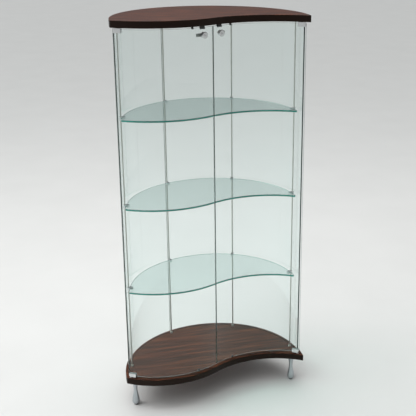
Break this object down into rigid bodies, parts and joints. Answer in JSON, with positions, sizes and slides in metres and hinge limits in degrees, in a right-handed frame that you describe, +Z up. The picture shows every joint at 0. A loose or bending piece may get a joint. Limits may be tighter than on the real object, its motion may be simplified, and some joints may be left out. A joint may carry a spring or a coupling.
{
  "type": "curio cabinet",
  "caption": "Tall free-standing curio cabinet: S-shaped pair of bent glass doors, half-round glass back, glass shelves on clip posts, dark wood top and base, chrome legs.",
  "frame": {"origin": "on the floor, under the middle of the plan", "axes": "+Z up, -Y out of the front through the doors, +X to the right of a person facing the front"},
  "size_m": [0.85, 0.5109, 1.785],
  "materials": {
    "wenge_veneer": "satin lacquered dark open-grained veneer",
    "back_glass": "clear float glass, bent",
    "door_glass": "clear toughened glass, bent, polished edges",
    "shelf_glass": "clear glass, green edges",
    "clear_vinyl": "soft translucent vinyl",
    "dark_vinyl": "soft dark brown vinyl",
    "satin_nickel": "satin nickel",
    "chrome_plate": "bright chrome plate",
    "leg_chrome": "bright chrome plate, slightly softened",
    "zinc_steel": "zinc plated",
    "grey_nylon": "matt",
    "white_nylon": "matt",
    "black_steel": "black lacquered"
  },
  "bodies": {
    "cabinet": {"door_stops": "dark_vinyl", "base_panel": "wenge_veneer", "top_panel": "wenge_veneer", "glazing_channel_bottom": "dark_vinyl", "glazing_channel_top": "dark_vinyl", "back_glass_left": "back_glass", "back_glass_centre": "back_glass", "back_glass_right": "back_glass", "joint_beads": "clear_vinyl", "post_left_side": "satin_nickel", "post_left_back": "satin_nickel", "post_right_back": "satin_nickel", "post_right_side": "satin_nickel", "post_cups": "satin_nickel", "shelf_lower": "shelf_glass", "shelf_middle": "shelf_glass", "shelf_upper": "shelf_glass", "shelf_clips_lower": "chrome_plate", "shelf_clips_middle": "chrome_plate", "shelf_clips_upper": "chrome_plate", "shelf_pads": "clear_vinyl", "clip_screws": "zinc_steel", "leg_front_left": "leg_chrome", "leg_front_right": "leg_chrome", "leg_back_left": "leg_chrome", "leg_back_right": "leg_chrome", "leg_studs": "zinc_steel", "leg_inserts": "zinc_steel", "leg_glides": "grey_nylon", "pivot_bushes": "white_nylon", "strike_plates": "black_steel", "strike_screws": "zinc_steel"},
    "left_door": {"door_glass_left": "door_glass", "hinge_clamp_top_left": "chrome_plate", "hinge_clamp_bottom_left": "chrome_plate", "hinge_pins_left": "zinc_steel", "hinge_pads_left": "clear_vinyl", "hinge_screws_left": "zinc_steel", "lock_barrel_left": "chrome_plate", "lock_washers_left": "clear_vinyl", "lock_nut_left": "chrome_plate"},
    "left_lock": {"lock_plug_left": "chrome_plate", "lock_cam_left": "zinc_steel", "cam_nut_left": "zinc_steel"},
    "right_door": {"door_glass_right": "door_glass", "hinge_clamp_top_right": "chrome_plate", "hinge_clamp_bottom_right": "chrome_plate", "hinge_pins_right": "zinc_steel", "hinge_pads_right": "clear_vinyl", "hinge_screws_right": "zinc_steel", "lock_barrel_right": "chrome_plate", "lock_washers_right": "clear_vinyl", "lock_nut_right": "chrome_plate"},
    "right_lock": {"lock_plug_right": "chrome_plate", "lock_cam_right": "zinc_steel", "cam_nut_right": "zinc_steel"}
  },
  "joints": [
    {"name": "left_door_hinge", "type": "hinge", "parent": "cabinet", "child": "left_door", "pos_m": [-0.40512, -0.18582, 0.955], "axis": [0, 0, -1], "range_deg": [0, 100]},
    {"name": "right_door_hinge", "type": "hinge", "parent": "cabinet", "child": "right_door", "pos_m": [0.40512, -0.16118, 0.955], "axis": [0, 0, 1], "range_deg": [0, 100]},
    {"name": "left_lock_turn", "type": "hinge", "parent": "left_door", "child": "left_lock", "pos_m": [-0.04067, -0.197, 1.715], "axis": [-0.4466, 0.8948, 0], "range_deg": [0, 90]},
    {"name": "right_lock_turn", "type": "hinge", "parent": "right_door", "child": "right_lock", "pos_m": [0.04067, -0.15, 1.715], "axis": [0.4466, -0.8948, 0], "range_deg": [0, 90]}
  ]
}
